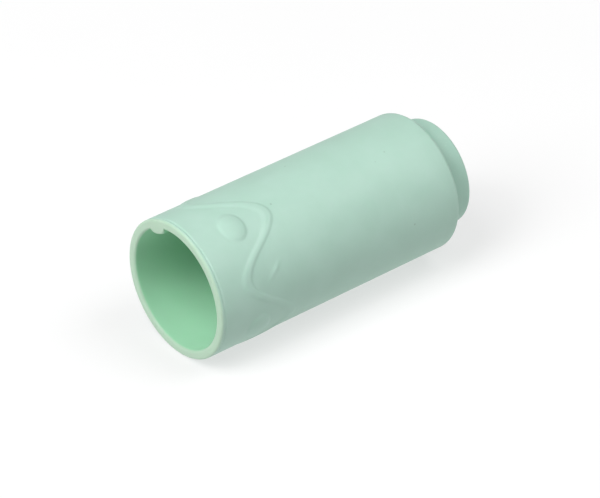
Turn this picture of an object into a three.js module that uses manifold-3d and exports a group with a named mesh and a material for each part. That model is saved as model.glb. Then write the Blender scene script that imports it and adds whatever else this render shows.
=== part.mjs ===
// Saliva ejector tip: a hollow moulded sleeve that pushes over the end of a suction valve,
// with a soft nose that grips the disposable suction straw.
//
// The tip lies on its side. Its axis runs along +X, from the open mouth to the nose, and +Z is up.
// All sizes are in millimetres. Stations along the axis are measured from the mouth's face, and
// angles round the axis are in degrees from straight up, positive towards +Y.

import * as THREE from "three";
import { mergeVertices } from "three/addons/utils/BufferGeometryUtils.js";
import Module from "manifold-3d";

// ---------------------------------------------------------------- driving dimensions

// Sleeve
const SLEEVE_LENGTH = 33.1;
const SLEEVE_RADIUS = 8.0; // at the mouth
const SLEEVE_DRAFT = 0.12; // how much smaller the far end's radius is, so that it leaves the mould
const SLEEVE_WALL = 1.05;
const END_WALL = 1.8;
const RIM_ROUNDING = 0.3;
const SHOULDER_ROUNDING = 0.6;

// Grip relief near the mouth: one rib that waves round the sleeve, and a low oval pad in each crest
const WAVE_COUNT = 4;
const WAVE_MEAN_STATION = 6.8;
const WAVE_AMPLITUDE = 2.9;
const WAVE_CREST_ANGLE = -22.5;
const RIB_HALF_WIDTH = 0.85; // along the axis, at the sleeve's surface
const RIB_HEIGHT = 0.1;
const PAD_STATION = 5.35;
const PAD_HALF_LENGTH = 1.7; // along the axis
const PAD_HALF_WIDTH = 2.05; // round the sleeve
const PAD_HEIGHT = 0.3;

// Key inside the mouth, which stops the tip turning on the valve
const KEY_ANGLE = 25.5;
const KEY_WIDTH = 2.4;
const KEY_HEIGHT = 0.7;
const KEY_LENGTH = 5.0;

// Nose, a soft bush held by its flange inside the end wall
const NOSE_LENGTH = 3.05; // beyond the sleeve's end
const NOSE_ROUNDING = 0.5;
const STRAW_BORE_RADIUS = 3.3; // clears a straw 6.5 mm thick
const LEAD_IN = 0.7;
const LIP_COUNT = 3;
const LIP_HEIGHT = 0.3; // the lips grip the straw
const LIP_PITCH = 1.9;
const LIP_HALF_WIDTH = 0.45;
const FLANGE_THICKNESS = 1.4;
const FLANGE_OVERHANG = 0.68; // how far the flange stands out past the nose

// Carrier, a ring pressed in behind the nose's flange, in which the strainer sits
const CARRIER_WALL = 0.9;
const LEDGE_THICKNESS = 1.2;
const LEDGE_STEP = 0.4; // how far the ledge's hole stands back from the straw's bore
const CARRIER_LEAD_IN = 0.3;

// Strainer basket, open towards the nose
const BASKET_WALL = 0.6;
const BASKET_RIM_WIDTH = 0.5;
const BASKET_RIM_THICKNESS = 1.0;
const BASKET_DEPTH = 6.5; // from the rim's open side to the outside of the floor
const BASKET_TAPER = 0.9; // how much smaller the radius is at the floor
const SLOT_COUNT = 10;
const SLOT_WIDTH = 0.9;
const FLOOR_HOLE_COUNT = 6;
const FLOOR_HOLE_RADIUS = 0.45;
const PULL_RADIUS = 1.0;
const PULL_LENGTH = 1.6;
const PULL_HEAD_THICKNESS = 0.6; // a fingernail or a probe goes in behind the head
const PULL_NECK_RADIUS = 0.6;

// Seal ring, which the end of the valve's spigot presses on
const SEAL_SECTION_RADIUS = 0.45;

// Clearances
const FIT_GAP = 0.06; // between pieces pressed together
const SLIDE_GAP = 0.15; // round the strainer, which lifts out
const PULL_GAP = 0.15; // from the strainer's pull to the end of the carrier

// Facets round the axis
const SLEEVE_FACETS = 64;
const INNER_FACETS = 40;
const ROUNDING_STEPS = 3;

// ---------------------------------------------------------------- derived stations and radii

const sleeveRadius = (station) => SLEEVE_RADIUS - (SLEEVE_DRAFT * station) / SLEEVE_LENGTH;
const boreRadius = (station) => sleeveRadius(station) - SLEEVE_WALL;

const endWallStation = SLEEVE_LENGTH - END_WALL;
const flangeFarStation = endWallStation - FIT_GAP;
const flangeNearStation = flangeFarStation - FLANGE_THICKNESS;
const noseEndStation = SLEEVE_LENGTH + NOSE_LENGTH;

const insertRadius = boreRadius(endWallStation) - FIT_GAP;
const noseRadius = insertRadius - FLANGE_OVERHANG;
const ledgeRadius = STRAW_BORE_RADIUS + LEDGE_STEP;
const socketRadius = insertRadius - CARRIER_WALL;

const carrierFarStation = flangeNearStation - FIT_GAP;
const ledgeStation = carrierFarStation - LEDGE_THICKNESS;
const rimFarStation = ledgeStation - FIT_GAP;
const basketFloorStation = rimFarStation - BASKET_DEPTH;
const pullStation = basketFloorStation - PULL_LENGTH;
const carrierNearStation = pullStation - PULL_GAP;

const basketRimRadius = socketRadius - SLIDE_GAP;
const basketTopRadius = basketRimRadius - BASKET_RIM_WIDTH;
const basketFloorRadius = basketTopRadius - BASKET_TAPER;

const sealStation = carrierNearStation - FIT_GAP - SEAL_SECTION_RADIUS;
const sealRadius = insertRadius - SEAL_SECTION_RADIUS;

const totalLength = noseEndStation;
const axisHeight = sleeveRadius(WAVE_MEAN_STATION) + RIB_HEIGHT; // the rib rests on the table

// ---------------------------------------------------------------- shape helpers

const wasm = await Module();
wasm.setup();

const radians = THREE.MathUtils.degToRad;

// Points of an arc in a half-section, as [station, radius]; 0 degrees points along +X and 90 outwards.
function arc(station, radius, rounding, from, to, steps = ROUNDING_STEPS) {
  return Array.from({ length: steps + 1 }, (_, i) => {
    const a = radians(from + ((to - from) * i) / steps);
    return [station + rounding * Math.cos(a), radius + rounding * Math.sin(a)];
  });
}

// Turns a closed half-section of [station, radius] points, listed clockwise, round the X axis.
function revolve(section, facets) {
  const points = [...section, section[0]].map(([x, r]) => new THREE.Vector2(r, x));
  return new THREE.LatheGeometry(points, facets).rotateZ(-Math.PI / 2);
}

// Moves a shape drawn with its foot at the origin and standing up +Z to a place round the axis.
function placeRound(geometry, station, radius, angle) {
  return geometry.translate(station, 0, radius).rotateX(-radians(angle));
}

function solid(geometry) {
  const bare = new THREE.BufferGeometry();
  bare.setAttribute("position", geometry.getAttribute("position"));
  bare.setIndex(geometry.getIndex());
  const merged = mergeVertices(bare, 1e-4);
  const mesh = new wasm.Mesh({
    numProp: 3,
    vertProperties: merged.attributes.position.array,
    triVerts: new Uint32Array(merged.index.array),
  });
  return new wasm.Manifold(mesh);
}

function geometryOf(manifold) {
  const mesh = manifold.getMesh();
  const geometry = new THREE.BufferGeometry();
  geometry.setAttribute("position", new THREE.BufferAttribute(mesh.vertProperties, 3));
  geometry.setIndex(new THREE.BufferAttribute(mesh.triVerts, 1));
  geometry.computeVertexNormals();
  return geometry;
}

function piece(name, geometry, material) {
  const mesh = new THREE.Mesh(geometry, material);
  mesh.name = name;
  return mesh;
}

// ---------------------------------------------------------------- materials

const materials = {
  sleeve: new THREE.MeshStandardMaterial({ color: 0xb5dcc9, roughness: 0.5, metalness: 0 }),
  nose: new THREE.MeshStandardMaterial({ color: 0x9ccab6, roughness: 0.6, metalness: 0 }),
  carrier: new THREE.MeshStandardMaterial({ color: 0xe4ebe6, roughness: 0.45, metalness: 0 }),
  strainer: new THREE.MeshStandardMaterial({ color: 0xf2f2ec, roughness: 0.4, metalness: 0 }),
  seal: new THREE.MeshStandardMaterial({ color: 0x3a3f3d, roughness: 0.7, metalness: 0 }),
};

// ---------------------------------------------------------------- sleeve

function sleeveShell() {
  const mouth = sleeveRadius(0);
  const end = sleeveRadius(SLEEVE_LENGTH);
  const bore = boreRadius(0);
  const hole = noseRadius + FIT_GAP;
  const section = [
    ...arc(RIM_ROUNDING, bore + RIM_ROUNDING, RIM_ROUNDING, 270, 180),
    ...arc(RIM_ROUNDING, mouth - RIM_ROUNDING, RIM_ROUNDING, 180, 90),
    ...arc(SLEEVE_LENGTH - SHOULDER_ROUNDING, end - SHOULDER_ROUNDING, SHOULDER_ROUNDING, 90, 0),
    [SLEEVE_LENGTH, hole],
    [endWallStation, hole],
    [endWallStation, boreRadius(endWallStation)],
  ];
  return solid(revolve(section, SLEEVE_FACETS));
}

const wavePhase = (angle) => WAVE_COUNT * (angle - radians(WAVE_CREST_ANGLE));

// A ring of oval section, each slice of which is slid along the axis to follow the wave, so that the
// rib is narrower where the wave is steep.
function waveRib() {
  const sunk = SLEEVE_WALL / 2;
  const middle = sleeveRadius(WAVE_MEAN_STATION) - sunk;
  const reach = RIB_HALF_WIDTH / Math.sqrt(1 - (sunk / (sunk + RIB_HEIGHT)) ** 2);
  const oval = arc(0, 0, 1, 360, 0, 12).slice(0, -1);
  const section = oval.map(([x, r]) => [x * reach, middle + r * (RIB_HEIGHT + sunk)]);
  const ring = revolve(section, SLEEVE_FACETS);
  const position = ring.getAttribute("position");
  for (let i = 0; i < position.count; i += 1) {
    const phase = wavePhase(Math.atan2(position.getY(i), position.getZ(i)));
    position.setX(i, WAVE_MEAN_STATION + WAVE_AMPLITUDE * Math.cos(phase) + position.getX(i));
  }
  return solid(ring).subtract(boreCore());
}

// The space inside the sleeve's wall, used to trim what is added to the outside.
function boreCore() {
  const skin = SLEEVE_WALL / 3;
  const near = -1;
  const far = endWallStation;
  const section = [
    [near, 0],
    [near, boreRadius(near) + skin],
    [far, boreRadius(far) + skin],
    [far, 0],
  ];
  return solid(revolve(section, SLEEVE_FACETS));
}

// A low dome, drawn on the flat with its foot sunk in the wall and then bent round the sleeve.
function gripPad(angle) {
  const sunk = SLEEVE_WALL / 2;
  const dome = new THREE.LatheGeometry(
    [
      new THREE.Vector2(0, -sunk),
      new THREE.Vector2(1, -sunk),
      ...[1, 0.7, 0.4, 0.15, 0].map((out) => new THREE.Vector2(out, PAD_HEIGHT * (1 - out ** 2))),
    ],
    20,
  ).rotateX(Math.PI / 2);
  dome.scale(PAD_HALF_LENGTH, PAD_HALF_WIDTH, 1);
  const position = dome.getAttribute("position");
  for (let i = 0; i < position.count; i += 1) {
    const turn = position.getY(i) / SLEEVE_RADIUS + radians(angle);
    const station = PAD_STATION + position.getX(i);
    const radius = sleeveRadius(station) + position.getZ(i);
    position.setXYZ(i, station, radius * Math.sin(turn), radius * Math.cos(turn));
  }
  return solid(dome);
}

function gripPads() {
  const step = 360 / WAVE_COUNT;
  return Array.from({ length: WAVE_COUNT }, (_, i) => gripPad(WAVE_CREST_ANGLE + step * i));
}

function mouthKey() {
  const half = KEY_WIDTH / 2;
  const corner = Math.min(KEY_HEIGHT, half) * 0.9;
  const root = SLEEVE_WALL / 2;
  const outline = new THREE.Shape();
  outline.moveTo(-half, root);
  outline.lineTo(-half, -KEY_HEIGHT + corner);
  outline.quadraticCurveTo(-half, -KEY_HEIGHT, -half + corner, -KEY_HEIGHT);
  outline.lineTo(half - corner, -KEY_HEIGHT);
  outline.quadraticCurveTo(half, -KEY_HEIGHT, half, -KEY_HEIGHT + corner);
  outline.lineTo(half, root);
  const bar = new THREE.ExtrudeGeometry(outline, {
    depth: KEY_LENGTH,
    bevelEnabled: false,
    curveSegments: ROUNDING_STEPS,
  });
  // The outline's X runs round the axis, its Y outwards, and the extrusion along the axis.
  bar.applyMatrix4(
    new THREE.Matrix4().makeBasis(
      new THREE.Vector3(0, 1, 0),
      new THREE.Vector3(0, 0, 1),
      new THREE.Vector3(1, 0, 0),
    ),
  );
  return solid(placeRound(bar, RIM_ROUNDING, boreRadius(0), KEY_ANGLE));
}

function sleeve() {
  const parts = [waveRib(), ...gripPads(), mouthKey()];
  return geometryOf(parts.reduce((whole, part) => whole.add(part), sleeveShell()));
}

// ---------------------------------------------------------------- nose

function nose() {
  const lastLip = noseEndStation - LEAD_IN - LIP_PITCH / 2;
  const lips = Array.from({ length: LIP_COUNT }, (_, i) => {
    const station = lastLip - LIP_PITCH * i;
    return [
      [station + LIP_HALF_WIDTH, STRAW_BORE_RADIUS],
      [station, STRAW_BORE_RADIUS - LIP_HEIGHT],
      [station - LIP_HALF_WIDTH, STRAW_BORE_RADIUS],
    ];
  }).flat();
  const section = [
    [flangeNearStation, STRAW_BORE_RADIUS],
    [flangeNearStation, insertRadius],
    [flangeFarStation, insertRadius],
    [flangeFarStation, noseRadius],
    ...arc(noseEndStation - NOSE_ROUNDING, noseRadius - NOSE_ROUNDING, NOSE_ROUNDING, 90, 0),
    [noseEndStation, STRAW_BORE_RADIUS + LEAD_IN],
    [noseEndStation - LEAD_IN, STRAW_BORE_RADIUS],
    ...lips,
  ];
  return revolve(section, INNER_FACETS);
}

// ---------------------------------------------------------------- carrier

function carrier() {
  const section = [
    [carrierNearStation, socketRadius],
    [carrierNearStation, insertRadius - CARRIER_LEAD_IN],
    [carrierNearStation + CARRIER_LEAD_IN, insertRadius],
    [carrierFarStation, insertRadius],
    [carrierFarStation, ledgeRadius],
    [ledgeStation, ledgeRadius],
    [ledgeStation, socketRadius],
  ];
  return revolve(section, INNER_FACETS);
}

// ---------------------------------------------------------------- strainer

function basketShell() {
  const rimNear = rimFarStation - BASKET_RIM_THICKNESS;
  const insideFloor = basketFloorStation + BASKET_WALL;
  const headStation = pullStation + PULL_HEAD_THICKNESS;
  const section = [
    [pullStation, 0],
    [pullStation, PULL_RADIUS],
    [headStation, PULL_RADIUS],
    [headStation, PULL_NECK_RADIUS],
    [basketFloorStation, PULL_NECK_RADIUS],
    [basketFloorStation, basketFloorRadius],
    [rimNear, basketTopRadius],
    [rimNear, basketRimRadius],
    [rimFarStation, basketRimRadius],
    [rimFarStation, basketTopRadius - BASKET_WALL],
    [insideFloor, basketFloorRadius - BASKET_WALL],
    [insideFloor, 0],
  ];
  return solid(revolve(section, INNER_FACETS));
}

function strainer() {
  const slotNear = basketFloorStation + BASKET_WALL * 2;
  const slotFar = rimFarStation - BASKET_RIM_THICKNESS - BASKET_WALL;
  const slotLength = slotFar - slotNear;
  const middle = (basketTopRadius + basketFloorRadius) / 2;
  const holeCircle = (PULL_RADIUS + basketFloorRadius - BASKET_WALL) / 2;
  const cuts = [];
  for (let i = 0; i < SLOT_COUNT; i += 1) {
    const bar = new THREE.BoxGeometry(slotLength, SLOT_WIDTH, BASKET_WALL * 4);
    cuts.push(placeRound(bar, (slotNear + slotFar) / 2, middle, (360 / SLOT_COUNT) * i));
  }
  for (let i = 0; i < FLOOR_HOLE_COUNT; i += 1) {
    const pin = new THREE.CylinderGeometry(FLOOR_HOLE_RADIUS, FLOOR_HOLE_RADIUS, BASKET_WALL * 3, 10);
    pin.rotateZ(Math.PI / 2);
    const station = basketFloorStation + BASKET_WALL / 2;
    cuts.push(placeRound(pin, station, holeCircle, (360 / FLOOR_HOLE_COUNT) * i));
  }
  return geometryOf(cuts.reduce((whole, cut) => whole.subtract(solid(cut)), basketShell()));
}

// ---------------------------------------------------------------- seal

function sealRing() {
  const section = arc(sealStation, sealRadius, SEAL_SECTION_RADIUS, 360, 0, 8).slice(0, -1);
  return revolve(section, INNER_FACETS);
}

// ---------------------------------------------------------------- assembly

const tip = new THREE.Group();
tip.position.set(-totalLength / 2, 0, axisHeight);
tip.add(
  piece("outer_sleeve", sleeve(), materials.sleeve),
  piece("nose_bush", nose(), materials.nose),
  piece("strainer_carrier", carrier(), materials.carrier),
  piece("strainer_basket", strainer(), materials.strainer),
  piece("spigot_seal", sealRing(), materials.seal),
);

export default tip;
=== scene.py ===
import math

import bmesh
import bpy
from mathutils import Matrix, Vector, noise


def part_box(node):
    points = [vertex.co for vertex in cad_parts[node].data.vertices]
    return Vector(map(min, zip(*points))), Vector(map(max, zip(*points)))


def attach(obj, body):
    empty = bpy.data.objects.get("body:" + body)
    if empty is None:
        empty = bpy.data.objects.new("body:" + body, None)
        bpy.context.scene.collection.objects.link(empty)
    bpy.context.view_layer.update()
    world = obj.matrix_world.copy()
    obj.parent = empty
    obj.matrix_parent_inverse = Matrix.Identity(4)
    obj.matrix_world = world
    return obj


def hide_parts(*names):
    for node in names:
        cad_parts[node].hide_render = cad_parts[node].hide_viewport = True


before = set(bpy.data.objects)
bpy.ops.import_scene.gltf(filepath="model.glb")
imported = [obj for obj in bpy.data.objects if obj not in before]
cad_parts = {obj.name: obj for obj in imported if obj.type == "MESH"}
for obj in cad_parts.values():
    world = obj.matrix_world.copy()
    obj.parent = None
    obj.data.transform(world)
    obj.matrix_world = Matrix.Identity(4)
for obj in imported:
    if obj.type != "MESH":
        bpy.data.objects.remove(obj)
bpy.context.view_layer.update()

MM = 0.001

# ---------------------------------------------------------------- sizes, in millimetres

# Sleeve
SLEEVE_WALL = 1.05
SLEEVE_DRAFT = 0.12
END_WALL = 1.8
RIM_ROUNDING = 0.3
SHOULDER_ROUNDING = 0.6

# Relief near the mouth: a rib that waves round the sleeve, with a low pad inside each crest
RELIEF_END = 12.0
WAVE_COUNT = 4
WAVE_MEAN_STATION = 6.8
WAVE_AMPLITUDE = 2.9
WAVE_CREST_ANGLE = -22.5
RIB_HALF_WIDTH = 0.85
RIB_HEIGHT = 0.1
RIB_FLANK = 0.5
PAD_STATION = 5.35
PAD_HALF_LENGTH = 1.7
PAD_HALF_WIDTH = 2.05
PAD_HEIGHT = 0.3
PAD_FOOT = 0.25

# Marks that the mould left: a shallow ring behind the rim, and one soft lump in a trough
WITNESS_STATION = 0.5
WITNESS_HALF_WIDTH = 0.16
WITNESS_END = WITNESS_STATION + WITNESS_HALF_WIDTH
WITNESS_DEPTH = 0.055
LUMP_STATION = 7.7
LUMP_ANGLE = -67.0
LUMP_HALF_LENGTH = 1.8
LUMP_HALF_WIDTH = 0.5
LUMP_TURN = 40.0
LUMP_HEIGHT = 0.075
LUMP_RAGGEDNESS = 0.5
LUMP_RAGGED_SCALE = 1.5

# Key inside the mouth. The two powers give it a round back and steep sides.
KEY_ANGLE = 25.5
KEY_WIDTH = 2.4
KEY_HEIGHT = 0.7
KEY_LENGTH = 5.0
KEY_END_BLEND = 0.3
KEY_ZONE = KEY_LENGTH + 1.0
KEY_ACROSS_POWER = 3
KEY_RISE_POWER = 0.6

# Nose bush
NOSE_ROUNDING = 0.5
STRAW_BORE_RADIUS = 3.3
LEAD_IN = 0.7
LIP_COUNT = 3
LIP_HEIGHT = 0.3
LIP_PITCH = 1.9
LIP_HALF_WIDTH = 0.45
FLANGE_THICKNESS = 1.4
FLANGE_OVERHANG = 0.68

# Carrier
CARRIER_WALL = 0.9
LEDGE_THICKNESS = 1.2
LEDGE_STEP = 0.4
CARRIER_LEAD_IN = 0.3

# Strainer basket
BASKET_WALL = 0.6
BASKET_RIM_WIDTH = 0.5
BASKET_RIM_THICKNESS = 1.0
BASKET_TAPER = 0.9
BASKET_FLOOR_ROUNDING = 0.35
BASKET_INSIDE_ROUNDING = 0.25
BASKET_RIM_FILLET = 0.15
SLOT_COUNT = 10
SLOT_WIDTH = 0.9
SLOT_END_ROUNDING = SLOT_WIDTH * 0.49
FLOOR_HOLE_COUNT = 6
FLOOR_HOLE_RADIUS = 0.45
PULL_RADIUS = 1.0
PULL_LENGTH = 1.6
PULL_HEAD_THICKNESS = 0.6
PULL_NECK_RADIUS = 0.6
PULL_ROUNDING = 0.2
GATE_RADIUS = 0.3
GATE_DEPTH = 0.12

# Seal ring
FLASH_HEIGHT = 0.02

# Shared by the pieces
FIT_GAP = 0.06
EDGE_ROUNDING = 0.1
HAIR_ROUNDING = 0.05
CUT_EDGE_ROUNDING = 0.04

# Fineness of the meshes: steps round a circle, longest edges, and distances for clearing up
SLEEVE_STEPS = 384
INNER_STEPS = 160
SEAL_SECTION_STEPS = 36
FLOOR_HOLE_STEPS = 24
ROUNDING_SEGMENTS = 6
SLOT_END_SEGMENTS = 8
CUT_EDGE_SEGMENTS = 2
FINE_EDGE = 0.13
KEY_EDGE = 0.3
PLAIN_EDGE = 2.5
DOUBLE_DISTANCE = 0.0001
CUT_DOUBLE_DISTANCE = 0.01
SLIVER_LENGTH = 0.005
SURFACE_MARGIN = 0.01

# Shading, in degrees, in radians, and as the length along the axis of a face's unit normal
SHARP_ANGLE = 38
CUT_EDGE_ANGLE = 1.0
SQUARE_NORMAL = 0.999

# Stage and lamps, in metres
FLOOR_REACH = 3.0
LAMP_WIDTH = 0.6
TABLE_GLOW = 0.62
ROOM_GLOW = 0.01

# Camera. Its distance and its aim are in widths of the mouth.
VIEW_DIRECTION = (0.5212, 0.6364, -0.5686)
VIEW_DISTANCE = 34
AIM_RIGHT = 0.8265
AIM_UP = 0.2711
LENS_LENGTH = 309
SENSOR_WIDTH = 36
CLIP_END = 20

# The colour sockets of a Mix node, whose names its other kinds share: both inputs, and the result
MIX_A = 6
MIX_B = 7
MIX_RESULT = 2

# The wave texture takes the sine of this many times its coordinate.
WAVE_TEXTURE_RATE = 20

# ---------------------------------------------------------------- places, from the frame


def span(node, axis):
    """Where a node of the frame starts and ends along an axis, in millimetres."""
    low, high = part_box(node)
    return low[axis] / MM, high[axis] / MM


MOUTH_X, END_X = span("outer_sleeve", 0)
SLEEVE_LENGTH = END_X - MOUTH_X
NOSE_END = span("nose_bush", 0)[1] - MOUTH_X
FLANGE_NEAR = span("nose_bush", 0)[0] - MOUTH_X
CARRIER_NEAR, CARRIER_FAR = (x - MOUTH_X for x in span("strainer_carrier", 0))
PULL_END, BASKET_RIM_FAR = (x - MOUTH_X for x in span("strainer_basket", 0))
SEAL_NEAR, SEAL_FAR = (x - MOUTH_X for x in span("spigot_seal", 0))
INSERT_RADIUS = (span("nose_bush", 2)[1] - span("nose_bush", 2)[0]) / 2
BASKET_RIM_RADIUS = (span("strainer_basket", 2)[1] - span("strainer_basket", 2)[0]) / 2
AXIS_Z = sum(span("nose_bush", 2)) / 2

NOSE_RADIUS = INSERT_RADIUS - FLANGE_OVERHANG
SOCKET_RADIUS = INSERT_RADIUS - CARRIER_WALL
BASKET_TOP_RADIUS = BASKET_RIM_RADIUS - BASKET_RIM_WIDTH
BASKET_FLOOR_RADIUS = BASKET_TOP_RADIUS - BASKET_TAPER
BASKET_FLOOR = PULL_END + PULL_LENGTH
END_WALL_STATION = SLEEVE_LENGTH - END_WALL
DRAFT_AT_END_WALL = SLEEVE_DRAFT * END_WALL_STATION / SLEEVE_LENGTH
SLEEVE_RADIUS = INSERT_RADIUS + FIT_GAP + SLEEVE_WALL + DRAFT_AT_END_WALL


def sleeve_radius(station):
    return SLEEVE_RADIUS - SLEEVE_DRAFT * station / SLEEVE_LENGTH


def bore_radius(station):
    return sleeve_radius(station) - SLEEVE_WALL


# ---------------------------------------------------------------- making shapes


def at(station, radius, angle=0.0):
    """The point at a station along the axis, a radius and an angle from straight up, in metres."""
    turn = math.radians(angle)
    across = Vector((0, math.sin(turn), math.cos(turn))) * radius
    return (Vector((MOUTH_X + station, 0, AXIS_Z)) + across) * MM


def polar(point):
    """Station, radius and angle, in millimetres and degrees, of a point in metres."""
    x, y, z = point / MM
    return x - MOUTH_X, math.hypot(y, z - AXIS_Z), math.degrees(math.atan2(y, z - AXIS_Z))


def turned(section, steps, longest=None):
    """Spins a half-section round the axis. Each point is (station, radius, rounding), and a section
    that starts and ends on the axis is left open there. longest, where it is given, is a function of
    station and radius that says how long an edge may be there."""
    bm = bmesh.new()
    points = [bm.verts.new(at(x, r)) for x, r, _ in section]
    solid = section[0][1] == 0
    ends = zip(points, points[1:]) if solid else zip(points, points[1:] + points[:1])
    for pair in ends:
        bm.edges.new(pair)
    for point, (_, _, rounding) in zip(points, section):
        if rounding:
            bmesh.ops.bevel(
                bm,
                geom=[point],
                offset=rounding * MM,
                offset_type="OFFSET",
                segments=ROUNDING_SEGMENTS,
                profile=0.5,
                affect="VERTICES",
                material=-1,
            )
    if longest:
        for edge in bm.edges[:]:
            station, radius, _ = polar((edge.verts[0].co + edge.verts[1].co) / 2)
            length = edge.calc_length() / MM
            cuts = math.ceil(length / longest(station, radius)) - 1
            if cuts:
                bmesh.ops.subdivide_edges(bm, edges=[edge], cuts=cuts)
    bmesh.ops.spin(
        bm,
        geom=bm.verts[:] + bm.edges[:],
        cent=at(0, 0),
        axis=(1, 0, 0),
        angle=math.tau,
        steps=steps,
        use_merge=True,
    )
    bmesh.ops.remove_doubles(bm, verts=bm.verts, dist=DOUBLE_DISTANCE * MM)
    bmesh.ops.recalc_face_normals(bm, faces=bm.faces)
    return bm


def object_of(name, bm):
    """Turns a bmesh into an object of the scene, at the origin, and frees the bmesh."""
    mesh = bpy.data.meshes.new(name)
    bm.to_mesh(mesh)
    bm.free()
    made = bpy.data.objects.new(name, mesh)
    bpy.context.scene.collection.objects.link(made)
    return made


def piece(name, bm, node, body, material):
    """Finishes a bmesh as an object that stands for a CAD node and rides on a body. Faces square to
    the axis are shaded flat, and the rest smooth."""
    bm.normal_update()
    for face in bm.faces:
        face.smooth = abs(face.normal.x) < SQUARE_NORMAL
    made = object_of(name, bm)
    made.data.set_sharp_from_angle(angle=math.radians(SHARP_ANGLE))
    made.data.materials.append(material)
    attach(made, body)
    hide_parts(node)
    return made


def cut_away(bm, cutter):
    """Subtracts one bmesh from another with a Boolean modifier, and gives back the result."""
    whole = object_of("Whole", bm)
    tool = object_of("Cutter", cutter)
    step = whole.modifiers.new("Cut", "BOOLEAN")
    step.object = tool
    step.operation = "DIFFERENCE"
    step.solver = "EXACT"
    bpy.context.view_layer.update()
    result = bmesh.new()
    result.from_object(whole, bpy.context.evaluated_depsgraph_get())
    for made in (whole, tool):
        mesh = made.data
        bpy.data.objects.remove(made)
        bpy.data.meshes.remove(mesh)
    return result


# ---------------------------------------------------------------- materials


def colour(code):
    """A linear RGBA colour from an sRGB hex code such as b5dcc9."""
    parts = [int(code[i : i + 2], 16) / 255 for i in (0, 2, 4)]
    linear = [c / 12.92 if c <= 0.04045 else ((c + 0.055) / 1.055) ** 2.4 for c in parts]
    return (*linear, 1.0)


def per_metre(millimetres):
    """The scale of a noise or cell pattern whose features are this many millimetres across."""
    return 1 / (millimetres * MM)


def new_material(name, constants):
    """A Principled material, with the values of the sockets that are the same all over."""
    material = bpy.data.materials.new(name)
    material.use_nodes = True
    shader = material.node_tree.nodes["Principled BSDF"]
    for socket, value in constants.items():
        shader.inputs[socket].default_value = value
    return material, material.node_tree, shader


def add(tree, kind, inputs=None, **settings):
    """Adds a node; inputs maps its sockets to values or to the sockets that feed them."""
    made = tree.nodes.new("ShaderNode" + kind)
    for name, value in settings.items():
        setattr(made, name, value)
    for socket, value in (inputs or {}).items():
        if isinstance(value, bpy.types.NodeSocket):
            tree.links.new(value, made.inputs[socket])
        else:
            made.inputs[socket].default_value = value
    return made


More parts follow.
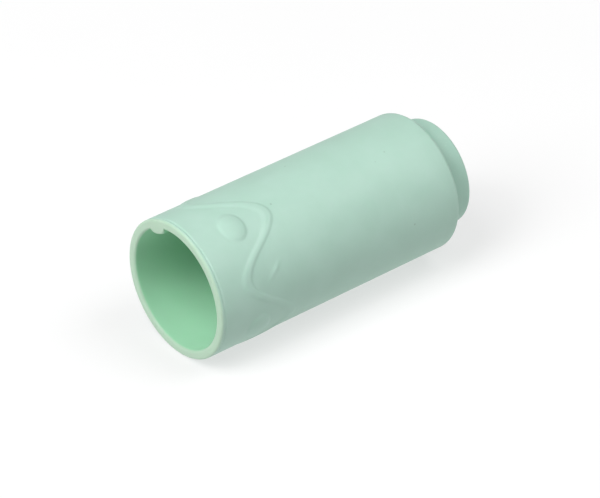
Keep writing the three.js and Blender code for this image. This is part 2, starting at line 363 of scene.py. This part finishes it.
def sleeve_polypropylene():
    """Polypropylene filled with mint pigment and moulded in a finely blasted tool. It looks milky
    and soft at its edges, with a satin skin, slight clouds and a few dark specks in the pigment, a
    mouth whose face is painted warmer as a glow for the light that comes through its thin rim, and
    a bore painted a deeper green as a glow for the light that bounces round inside the tube."""
    material, tree, shader = new_material(
        "Mint polypropylene, satin moulded",
        {
            "Subsurface Weight": 0.35,
            "Subsurface Radius": (0.7, 1.0, 0.8),
            "Subsurface Scale": 0.6 * MM,
            "IOR": 1.49,
            "Specular IOR Level": 0.3,
        },
    )
    where = add(tree, "TexCoord").outputs["Object"]
    clouds = add(tree, "TexNoise", {"Vector": where, "Scale": per_metre(3.5), "Detail": 3.0})
    skin = add(
        tree,
        "Mix",
        {"Factor": clouds.outputs["Fac"], MIX_A: colour("9ebeaf"), MIX_B: colour("aac8bb")},
        data_type="RGBA",
    )
    # Cells are 2.4 mm across. A speck lies at the point of about one cell in four, and fades out
    # 0.07 to 0.14 mm from it, so few reach the surface and they are scattered unevenly.
    cells = add(tree, "TexVoronoi", {"Vector": where, "Scale": per_metre(2.4)})
    middle = add(
        tree,
        "MapRange",
        {
            "Value": cells.outputs["Distance"],
            "From Min": 0.03,
            "From Max": 0.06,
            "To Min": 1,
            "To Max": 0,
        },
    )
    chosen = add(tree, "Math", {0: cells.outputs["Color"], 1: 0.66}, operation="GREATER_THAN")
    speck = add(
        tree,
        "Math",
        {0: middle.outputs["Result"], 1: chosen.outputs[0]},
        operation="MULTIPLY",
    )
    specked = add(
        tree,
        "Mix",
        {"Factor": speck.outputs[0], MIX_A: skin.outputs[MIX_RESULT], MIX_B: colour("93ada0")},
        data_type="RGBA",
    )
    # The mouth's face is painted a warmer colour, a painted glow for the light that comes through
    # the thin rim, and the paint blends away over the rounding of the rim.
    along = add(tree, "SeparateXYZ", {0: where}).outputs["X"]
    face = add(
        tree,
        "MapRange",
        {
            "Value": along,
            "From Min": (MOUTH_X + 0.1) * MM,
            "From Max": (MOUTH_X + RIM_ROUNDING) * MM,
            "To Min": 1,
            "To Max": 0,
        },
    )
    # The bore is told from the outside by its distance from the axis. It is painted a deeper green,
    # a painted glow for the light that bounces round inside the tube and comes through its wall.
    axis = (0, 0, AXIS_Z * MM)
    centred = add(tree, "VectorMath", {0: where, 1: axis}, operation="SUBTRACT")
    across = add(
        tree, "VectorMath", {0: centred.outputs[0], 1: (0, 1, 1)}, operation="MULTIPLY"
    )
    radius = add(tree, "VectorMath", {0: across.outputs[0]}, operation="LENGTH")
    bore = add(
        tree,
        "MapRange",
        {
            "Value": radius.outputs["Value"],
            "From Min": (bore_radius(0) + 0.02) * MM,
            "From Max": (bore_radius(0) + RIM_ROUNDING / 2) * MM,
            "To Min": 1,
            "To Max": 0,
        },
    )
    # The painted glow stops at the end wall, so the wall's outer face keeps the colour of the skin.
    bore_end = (MOUTH_X + END_WALL_STATION + 0.1) * MM
    before_end = add(tree, "Math", {0: along, 1: bore_end}, operation="LESS_THAN")
    painted_bore_glow_mask = add(
        tree,
        "Math",
        {0: bore.outputs["Result"], 1: before_end.outputs[0]},
        operation="MULTIPLY",
    )
    # Painted glow: the bore's deeper green stands in for light that bounces round inside the tube.
    with_painted_bore_glow = add(
        tree,
        "Mix",
        {"Factor": painted_bore_glow_mask.outputs[0], MIX_A: specked.outputs[MIX_RESULT], MIX_B: colour("a0d3b2")},
        data_type="RGBA",
    )
    # The mouth's painted warm glow goes on last, over the bore's painted glow and the skin.
    whole = add(
        tree,
        "Mix",
        {
            "Factor": face.outputs["Result"],
            MIX_A: with_painted_bore_glow.outputs[MIX_RESULT],
            MIX_B: colour("a6c0ab"),
        },
        data_type="RGBA",
    )
    tree.links.new(whole.outputs[MIX_RESULT], shader.inputs["Base Color"])
    # The grain that blasting leaves is about 0.05 mm across. It is drawn at 0.12 mm so that it
    # shows.
    grain = add(tree, "TexNoise", {"Vector": where, "Scale": per_metre(0.12), "Detail": 2.0})
    ripple = add(tree, "TexNoise", {"Vector": where, "Scale": per_metre(1.6), "Detail": 2.0})
    wavy = add(
        tree,
        "Bump",
        {"Height": ripple.outputs["Fac"], "Strength": 0.5, "Distance": 0.03 * MM},
    )
    satin = add(
        tree,
        "Bump",
        {
            "Height": grain.outputs["Fac"],
            "Strength": 0.25,
            "Distance": 0.01 * MM,
            "Normal": wavy.outputs["Normal"],
        },
    )
    tree.links.new(satin.outputs["Normal"], shader.inputs["Normal"])
    gloss = add(
        tree,
        "MapRange",
        {"Value": clouds.outputs["Fac"], "To Min": 0.5, "To Max": 0.62},
    )
    tree.links.new(gloss.outputs["Result"], shader.inputs["Roughness"])
    return material


def nose_silicone():
    """Silicone rubber, press moulded and left as it comes. It is more see-through than the sleeve
    and a little bluer, and its colour is painted a little darker as shade from the sleeve's
    shoulder, with a dry matt skin that dust clings to."""
    material, tree, shader = new_material(
        "Mint silicone rubber, press moulded",
        {
            "Subsurface Weight": 0.5,
            "Subsurface Radius": (0.7, 1.0, 0.9),
            "Subsurface Scale": 0.9 * MM,
            "IOR": 1.41,
        },
    )
    where = add(tree, "TexCoord").outputs["Object"]
    clouds = add(tree, "TexNoise", {"Vector": where, "Scale": per_metre(2.5), "Detail": 3.0})
    # These colours are a little bluer than the sleeve's, and painted darker as shade from its
    # shoulder.
    body = add(
        tree,
        "Mix",
        {"Factor": clouds.outputs["Fac"], MIX_A: colour("9bbcae"), MIX_B: colour("a2c3b4")},
        data_type="RGBA",
    )
    lint = add(
        tree,
        "TexNoise",
        {"Vector": where, "Scale": per_metre(0.3), "Detail": 3.0, "Roughness": 0.7},
    )
    dust = add(
        tree,
        "MapRange",
        {"Value": lint.outputs["Fac"], "From Min": 0.62, "From Max": 0.78, "To Max": 0.35},
    )
    dusted = add(
        tree,
        "Mix",
        {
            "Factor": dust.outputs["Result"],
            MIX_A: body.outputs[MIX_RESULT],
            MIX_B: colour("c3dccf"),
        },
        data_type="RGBA",
    )
    tree.links.new(dusted.outputs[MIX_RESULT], shader.inputs["Base Color"])
    matt = add(
        tree,
        "Bump",
        {"Height": lint.outputs["Fac"], "Strength": 0.2, "Distance": 0.01 * MM},
    )
    tree.links.new(matt.outputs["Normal"], shader.inputs["Normal"])
    dryness = add(
        tree,
        "MapRange",
        {"Value": lint.outputs["Fac"], "To Min": 0.5, "To Max": 0.68},
    )
    tree.links.new(dryness.outputs["Result"], shader.inputs["Roughness"])
    return material


def carrier_polypropylene():
    """Unpigmented polypropylene, moulded in a turned tool. It is a cloudy grey-white, with fine
    rings round it that the turning left, 0.2 mm apart."""
    material, tree, shader = new_material(
        "Natural polypropylene, moulded",
        {
            "Subsurface Weight": 0.6,
            "Subsurface Radius": (1.0, 1.0, 0.95),
            "Subsurface Scale": 1.0 * MM,
            "IOR": 1.49,
        },
    )
    where = add(tree, "TexCoord").outputs["Object"]
    clouds = add(tree, "TexNoise", {"Vector": where, "Scale": per_metre(2), "Detail": 4.0})
    body = add(
        tree,
        "Mix",
        {"Factor": clouds.outputs["Fac"], MIX_A: colour("cfd8d2"), MIX_B: colour("dee5e0")},
        data_type="RGBA",
    )
    tree.links.new(body.outputs[MIX_RESULT], shader.inputs["Base Color"])
    ring_scale = per_metre(0.2) * math.tau / WAVE_TEXTURE_RATE
    rings = add(
        tree,
        "TexWave",
        {"Vector": where, "Scale": ring_scale, "Distortion": 0.4},
        bands_direction="X",
    )
    turning = add(
        tree,
        "Bump",
        {"Height": rings.outputs["Fac"], "Strength": 0.3, "Distance": 0.008 * MM},
    )
    tree.links.new(turning.outputs["Normal"], shader.inputs["Normal"])
    gloss = add(
        tree,
        "MapRange",
        {"Value": clouds.outputs["Fac"], "To Min": 0.3, "To Max": 0.48},
    )
    tree.links.new(gloss.outputs["Result"], shader.inputs["Roughness"])
    return material


def strainer_acetal():
    """White acetal, moulded in a polished tool. It is bright and waxy, with faint cream flow lines
    that run from the gate along the basket, and a skin glossier than the sleeve's."""
    material, tree, shader = new_material(
        "White acetal, moulded",
        {
            "Subsurface Weight": 0.4,
            "Subsurface Radius": (1.0, 0.95, 0.85),
            "Subsurface Scale": 0.5 * MM,
            "IOR": 1.48,
        },
    )
    where = add(tree, "TexCoord").outputs["Object"]
    # Squeezed along X, so that the clouds are drawn out into lines about 0.6 mm wide.
    drawn = add(tree, "Mapping", {"Vector": where, "Scale": (0.15, 1, 1)})
    flow = add(
        tree,
        "TexNoise",
        {"Vector": drawn.outputs["Vector"], "Scale": per_metre(0.6), "Detail": 3.0},
    )
    body = add(
        tree,
        "Mix",
        {"Factor": flow.outputs["Fac"], MIX_A: colour("cdcbc0"), MIX_B: colour("d9d8d0")},
        data_type="RGBA",
    )
    tree.links.new(body.outputs[MIX_RESULT], shader.inputs["Base Color"])
    sink = add(
        tree,
        "Bump",
        {"Height": flow.outputs["Fac"], "Strength": 0.25, "Distance": 0.012 * MM},
    )
    tree.links.new(sink.outputs["Normal"], shader.inputs["Normal"])
    gloss = add(
        tree,
        "MapRange",
        {"Value": flow.outputs["Fac"], "To Min": 0.26, "To Max": 0.4},
    )
    tree.links.new(gloss.outputs["Result"], shader.inputs["Roughness"])
    return material


def seal_nitrile():
    """Black nitrile rubber, press moulded. It is a soft matt black, greyed in patches by bloom."""
    material, tree, shader = new_material("Nitrile rubber, press moulded", {"IOR": 1.52})
    where = add(tree, "TexCoord").outputs["Object"]
    patches = add(tree, "TexNoise", {"Vector": where, "Scale": per_metre(0.8), "Detail": 4.0})
    bloom = add(
        tree,
        "MapRange",
        {"Value": patches.outputs["Fac"], "From Min": 0.4, "From Max": 0.75},
    )
    body = add(
        tree,
        "Mix",
        {"Factor": bloom.outputs["Result"], MIX_A: colour("26292a"), MIX_B: colour("474b49")},
        data_type="RGBA",
    )
    tree.links.new(body.outputs[MIX_RESULT], shader.inputs["Base Color"])
    grain = add(tree, "TexNoise", {"Vector": where, "Scale": per_metre(0.1), "Detail": 2.0})
    matt = add(
        tree,
        "Bump",
        {"Height": grain.outputs["Fac"], "Strength": 0.3, "Distance": 0.008 * MM},
    )
    tree.links.new(matt.outputs["Normal"], shader.inputs["Normal"])
    dryness = add(
        tree,
        "MapRange",
        {"Value": bloom.outputs["Result"], "To Min": 0.45, "To Max": 0.65},
    )
    tree.links.new(dryness.outputs["Result"], shader.inputs["Roughness"])
    return material


def opal_table():
    """Opal acrylic, lit evenly from below as on a product table, so that it stays white and shadows
    are faint. The sheet itself is matt, with the slightest cloudiness."""
    material, tree, shader = new_material(
        "Opal acrylic sheet, lit from below",
        {
            "Roughness": 0.9,
            "Specular IOR Level": 0.2,
            "Emission Color": colour("ffffff"),
            "Emission Strength": TABLE_GLOW,
        },
    )
    where = add(tree, "TexCoord").outputs["Object"]
    clouds = add(tree, "TexNoise", {"Vector": where, "Scale": per_metre(30), "Detail": 2.0})
    sheet = add(
        tree,
        "Mix",
        {"Factor": clouds.outputs["Fac"], MIX_A: colour("909090"), MIX_B: colour("949494")},
        data_type="RGBA",
    )
    tree.links.new(sheet.outputs[MIX_RESULT], shader.inputs["Base Color"])
    return material


# ---------------------------------------------------------------- sleeve


def smooth(low, high, value):
    """Rises from 0 to 1 between low and high, with no corner at either end."""
    share = min(max((value - low) / (high - low), 0.0), 1.0)
    return share * share * (3 - 2 * share)


def wave_relief(station, angle):
    """The waving rib. Its flank away from the mouth takes up RIB_FLANK of its half-width, and the
    softer flank towards the mouth twice as much."""
    phase = math.radians(WAVE_COUNT * (angle - WAVE_CREST_ANGLE))
    middle = WAVE_MEAN_STATION + WAVE_AMPLITUDE * math.cos(phase)
    inward = 1 - abs(station - middle) / RIB_HALF_WIDTH
    flank = RIB_FLANK * (1 if station > middle else 2)
    return RIB_HEIGHT * smooth(0, flank, inward)


def pad_relief(station, angle):
    """The pads: low domes whose foot runs out into the wall over PAD_FOOT of their size."""
    step = 360 / WAVE_COUNT
    turn = (angle - WAVE_CREST_ANGLE + step / 2) % step - step / 2
    around = math.radians(turn) * SLEEVE_RADIUS / PAD_HALF_WIDTH
    out = math.hypot((station - PAD_STATION) / PAD_HALF_LENGTH, around)
    return PAD_HEIGHT * (1 - min(out, 1) ** 2) * smooth(0, PAD_FOOT, 1 - out)


def lump_relief(station, angle):
    """The mark that the mould left in one trough: soft, ragged, longer than it is wide, and turned
    on the surface."""
    along = station - LUMP_STATION
    around = math.radians(angle - LUMP_ANGLE) * SLEEVE_RADIUS
    turn = math.radians(LUMP_TURN)
    u = (along * math.cos(turn) + around * math.sin(turn)) / LUMP_HALF_LENGTH
    v = (around * math.cos(turn) - along * math.sin(turn)) / LUMP_HALF_WIDTH
    ragged = 1 + LUMP_RAGGEDNESS * noise.noise(Vector((along, around, 0)) * LUMP_RAGGED_SCALE)
    return LUMP_HEIGHT * ragged * smooth(0, 1, 1 - math.hypot(u, v))


def witness_relief(station):
    """The shallow ring behind the rim."""
    inward = 1 - abs(station - WITNESS_STATION) / WITNESS_HALF_WIDTH
    return -WITNESS_DEPTH * smooth(0, 1, inward)


def key_rise(angle):
    """How far the key stands in from the bore at an angle."""
    across = abs(math.radians(angle - KEY_ANGLE)) * bore_radius(0) / (KEY_WIDTH / 2)
    return KEY_HEIGHT * (1 - min(across, 1) ** KEY_ACROSS_POWER) ** KEY_RISE_POWER


def sleeve_fineness(station, radius):
    """The longest edge along the sleeve's section. The relief and the key are raised from the plain
    wall, so it is finely divided there."""
    if radius > bore_radius(station) + SLEEVE_WALL / 2 and station < RELIEF_END:
        return FINE_EDGE / 2 if station < WITNESS_END else FINE_EDGE
    return KEY_EDGE if station < KEY_ZONE else PLAIN_EDGE


def sleeve_mesh():
    """A plain drafted shell with an end wall, from which the key and the relief are then raised."""
    hole = NOSE_RADIUS + FIT_GAP
    section = [
        (0, bore_radius(0), RIM_ROUNDING),
        (0, sleeve_radius(0), RIM_ROUNDING),
        (WITNESS_END, sleeve_radius(WITNESS_END), 0),
        (RELIEF_END, sleeve_radius(RELIEF_END), 0),
        (SLEEVE_LENGTH, sleeve_radius(SLEEVE_LENGTH), SHOULDER_ROUNDING),
        (SLEEVE_LENGTH, hole, HAIR_ROUNDING),
        (END_WALL_STATION, hole, 0),
        (END_WALL_STATION, bore_radius(END_WALL_STATION), EDGE_ROUNDING),
        (KEY_ZONE, bore_radius(KEY_ZONE), 0),
    ]
    bm = turned(section, SLEEVE_STEPS, longest=sleeve_fineness)
    for vert in bm.verts:
        station, radius, angle = polar(vert.co)
        inside = radius < bore_radius(station) + RIM_ROUNDING + SURFACE_MARGIN
        if inside and station < KEY_ZONE:
            ended = smooth(KEY_LENGTH - KEY_END_BLEND, KEY_LENGTH + KEY_END_BLEND, station)
            radius -= key_rise(angle) * (1 - ended)
        elif radius > bore_radius(station) + SLEEVE_WALL / 2 and station < RELIEF_END:
            raised = max(wave_relief(station, angle), pad_relief(station, angle))
            radius += raised + lump_relief(station, angle) + witness_relief(station)
        vert.co = at(station, radius, angle)
    return bm


# ---------------------------------------------------------------- nose bush and carrier


def nose_mesh():
    """A flanged bush, whose bore has a lead-in and lips that grip the straw."""
    last = NOSE_END - LEAD_IN - LIP_PITCH / 2
    lips = []
    for i in range(LIP_COUNT):
        middle = last - LIP_PITCH * i
        lips += [
            (middle + LIP_HALF_WIDTH, STRAW_BORE_RADIUS, EDGE_ROUNDING),
            (middle, STRAW_BORE_RADIUS - LIP_HEIGHT, EDGE_ROUNDING),
            (middle - LIP_HALF_WIDTH, STRAW_BORE_RADIUS, EDGE_ROUNDING),
        ]
    flange_far = FLANGE_NEAR + FLANGE_THICKNESS
    section = [
        (FLANGE_NEAR, STRAW_BORE_RADIUS, EDGE_ROUNDING),
        (FLANGE_NEAR, INSERT_RADIUS, EDGE_ROUNDING),
        (flange_far, INSERT_RADIUS, EDGE_ROUNDING),
        (flange_far, NOSE_RADIUS, HAIR_ROUNDING),
        (NOSE_END, NOSE_RADIUS, NOSE_ROUNDING),
        (NOSE_END, STRAW_BORE_RADIUS + LEAD_IN, EDGE_ROUNDING),
        (NOSE_END - LEAD_IN, STRAW_BORE_RADIUS, EDGE_ROUNDING),
        *lips,
    ]
    return turned(section, INNER_STEPS)


def carrier_mesh():
    """A ring with a socket for the spigot's seal, and a ledge that seats the strainer."""
    ledge = STRAW_BORE_RADIUS + LEDGE_STEP
    ledge_station = CARRIER_FAR - LEDGE_THICKNESS
    section = [
        (CARRIER_NEAR, SOCKET_RADIUS, EDGE_ROUNDING),
        (CARRIER_NEAR, INSERT_RADIUS, CARRIER_LEAD_IN),
        (CARRIER_FAR, INSERT_RADIUS, EDGE_ROUNDING),
        (CARRIER_FAR, ledge, EDGE_ROUNDING),
        (ledge_station, ledge, EDGE_ROUNDING),
        (ledge_station, SOCKET_RADIUS, EDGE_ROUNDING),
    ]
    return turned(section, INNER_STEPS)


# ---------------------------------------------------------------- strainer


def basket_shell():
    """The basket before its slots and holes are cut, with the pull on its floor and a sunk gate."""
    rim_near = BASKET_RIM_FAR - BASKET_RIM_THICKNESS
    inside_floor = BASKET_FLOOR + BASKET_WALL
    head = PULL_END + PULL_HEAD_THICKNESS
    section = [
        (PULL_END + GATE_DEPTH, 0, 0),
        (PULL_END + GATE_DEPTH, GATE_RADIUS, 0),
        (PULL_END, GATE_RADIUS, 0),
        (PULL_END, PULL_RADIUS, PULL_ROUNDING),
        (head, PULL_RADIUS, PULL_ROUNDING),
        (head, PULL_NECK_RADIUS, EDGE_ROUNDING),
        (BASKET_FLOOR, PULL_NECK_RADIUS, PULL_ROUNDING),
        (BASKET_FLOOR, BASKET_FLOOR_RADIUS, BASKET_FLOOR_ROUNDING),
        (rim_near, BASKET_TOP_RADIUS, BASKET_RIM_FILLET),
        (rim_near, BASKET_RIM_RADIUS, EDGE_ROUNDING),
        (BASKET_RIM_FAR, BASKET_RIM_RADIUS, EDGE_ROUNDING),
        (BASKET_RIM_FAR, BASKET_TOP_RADIUS - BASKET_WALL, EDGE_ROUNDING),
        (inside_floor, BASKET_FLOOR_RADIUS - BASKET_WALL, BASKET_INSIDE_ROUNDING),
        (inside_floor, 0, 0),
    ]
    return turned(section, INNER_STEPS)


def slot_cutter(angle):
    """A bar with round ends that passes through the basket's wall at an angle round the axis."""
    near = BASKET_FLOOR + BASKET_WALL * 2
    far = BASKET_RIM_FAR - BASKET_RIM_THICKNESS - BASKET_WALL
    middle = (BASKET_TOP_RADIUS + BASKET_FLOOR_RADIUS) / 2
    bm = bmesh.new()
    bar = bmesh.ops.create_cube(bm, size=MM)["verts"]
    bmesh.ops.scale(bm, verts=bar, vec=(far - near, SLOT_WIDTH, BASKET_WALL * 4))
    upright = [edge for edge in bm.edges if edge.verts[0].co.z != edge.verts[1].co.z]
    bmesh.ops.bevel(
        bm,
        geom=upright,
        offset=SLOT_END_ROUNDING * MM,
        offset_type="OFFSET",
        segments=SLOT_END_SEGMENTS,
        profile=0.5,
        affect="EDGES",
        material=-1,
    )
    place = Matrix.Translation(at((near + far) / 2, middle, angle))
    turn = Matrix.Rotation(-math.radians(angle), 4, "X")
    bmesh.ops.transform(bm, matrix=place @ turn, verts=bm.verts)
    return bm


def floor_hole_cutter(angle):
    """A rod along the axis's direction that passes through the basket's floor."""
    bm = bmesh.new()
    circle = (PULL_RADIUS + BASKET_FLOOR_RADIUS - BASKET_WALL) / 2
    place = Matrix.Translation(at(BASKET_FLOOR + BASKET_WALL / 2, circle, angle))
    bmesh.ops.create_cone(
        bm,
        cap_ends=True,
        segments=FLOOR_HOLE_STEPS,
        radius1=FLOOR_HOLE_RADIUS * MM,
        radius2=FLOOR_HOLE_RADIUS * MM,
        depth=BASKET_WALL * 3 * MM,
        matrix=place @ Matrix.Rotation(math.pi / 2, 4, "Y"),
    )
    return bm


def strainer_mesh():
    """Cuts the slots and the floor's holes in one go, clears up after the cut, and rounds the edges
    that it left."""
    cutters = [slot_cutter(360 / SLOT_COUNT * i) for i in range(SLOT_COUNT)]
    cutters += [floor_hole_cutter(360 / FLOOR_HOLE_COUNT * i) for i in range(FLOOR_HOLE_COUNT)]
    every = bmesh.new()
    for cutter in cutters:
        mesh = bpy.data.meshes.new("Cutter")
        cutter.to_mesh(mesh)
        cutter.free()
        every.from_mesh(mesh)
        bpy.data.meshes.remove(mesh)
    bm = cut_away(basket_shell(), every)
    bmesh.ops.remove_doubles(bm, verts=bm.verts, dist=CUT_DOUBLE_DISTANCE * MM)
    bmesh.ops.dissolve_degenerate(bm, edges=bm.edges, dist=SLIVER_LENGTH * MM)
    joined = [edge for edge in bm.edges if edge.is_manifold]
    cut_edges = [edge for edge in joined if edge.calc_face_angle() > CUT_EDGE_ANGLE]
    bmesh.ops.bevel(
        bm,
        geom=cut_edges,
        offset=CUT_EDGE_ROUNDING * MM,
        offset_type="OFFSET",
        segments=CUT_EDGE_SEGMENTS,
        profile=0.5,
        affect="EDGES",
        material=-1,
    )
    return bm


# ---------------------------------------------------------------- seal


def seal_mesh():
    """A ring of round section, with the mould's flash, a hair-thin ridge, on its inner edge."""
    radius = (SEAL_FAR - SEAL_NEAR) / 2
    middle = (SEAL_FAR + SEAL_NEAR) / 2
    ring = INSERT_RADIUS - radius
    innermost = SEAL_SECTION_STEPS * 3 // 4
    section = []
    for i in range(SEAL_SECTION_STEPS):
        turn = math.tau * i / SEAL_SECTION_STEPS
        out = radius + (FLASH_HEIGHT if i == innermost else 0)
        section.append((middle + out * math.cos(turn), ring + out * math.sin(turn), 0))
    return turned(section, INNER_STEPS)


# ---------------------------------------------------------------- stage, light and camera


def stage():
    bm = bmesh.new()
    bmesh.ops.create_grid(bm, x_segments=1, y_segments=1, size=FLOOR_REACH)
    floor = object_of("Floor", bm)
    floor.data.materials.append(opal_table())


def softbox(name, azimuth, elevation, power):
    """A round diffuse lamp, one metre from the origin and facing it. Azimuth is from +X towards +Y,
    azimuth and elevation are in degrees, and power is in watts."""
    light = bpy.data.lights.new(name, "AREA")
    light.shape = "DISK"
    light.size = LAMP_WIDTH
    light.energy = power
    lamp = bpy.data.objects.new(name, light)
    around = math.radians(azimuth)
    up = math.radians(elevation)
    level = math.cos(up)
    towards = Vector((math.cos(around) * level, math.sin(around) * level, math.sin(up)))
    lamp.location = towards
    lamp.rotation_euler = towards.to_track_quat("Z", "Y").to_euler()
    bpy.context.scene.collection.objects.link(lamp)


def lights():
    softbox("Main softbox, over the mouth", 180, 60, 5.7)
    softbox("Low softbox, into the mouth", 180, 38, 6.0)
    softbox("Side softbox", 312, 58, 5.3)
    softbox("Top softbox", 0, 90, 1.2)
    world = bpy.data.worlds.new("Dim studio")
    world.use_nodes = True
    background = world.node_tree.nodes["Background"]
    background.inputs["Color"].default_value = (1, 1, 1, 1)
    background.inputs["Strength"].default_value = ROOM_GLOW
    bpy.context.scene.world = world
    bpy.context.scene.view_settings.view_transform = "Standard"


def camera():
    """A long lens, so that the view is nearly parallel, from the mouth's side and above."""
    width = 2 * SLEEVE_RADIUS * MM
    forward = Vector(VIEW_DIRECTION).normalized()
    right = forward.cross((0, 0, 1)).normalized()
    up = right.cross(forward)
    aim = at(0, 0) + width * (AIM_RIGHT * right + AIM_UP * up)
    data = bpy.data.cameras.new("Camera")
    data.lens = LENS_LENGTH
    data.sensor_width = SENSOR_WIDTH
    data.clip_end = CLIP_END
    view = bpy.data.objects.new("Camera", data)
    turn = Matrix((right, up, -forward)).transposed()
    eye = aim - forward * VIEW_DISTANCE * width
    view.matrix_world = Matrix.Translation(eye) @ turn.to_4x4()
    bpy.context.scene.collection.objects.link(view)
    bpy.context.scene.camera = view


# ---------------------------------------------------------------- the scene

camera()
lights()
stage()
piece("Sleeve", sleeve_mesh(), "outer_sleeve", "sleeve", sleeve_polypropylene())
piece("Nose_bush", nose_mesh(), "nose_bush", "sleeve", nose_silicone())
piece(
    "Strainer_carrier",
    carrier_mesh(),
    "strainer_carrier",
    "sleeve",
    carrier_polypropylene(),
)
piece(
    "Strainer_basket",
    strainer_mesh(),
    "strainer_basket",
    "strainer",
    strainer_acetal(),
)
piece("Spigot_seal", seal_mesh(), "spigot_seal", "sleeve", seal_nitrile())
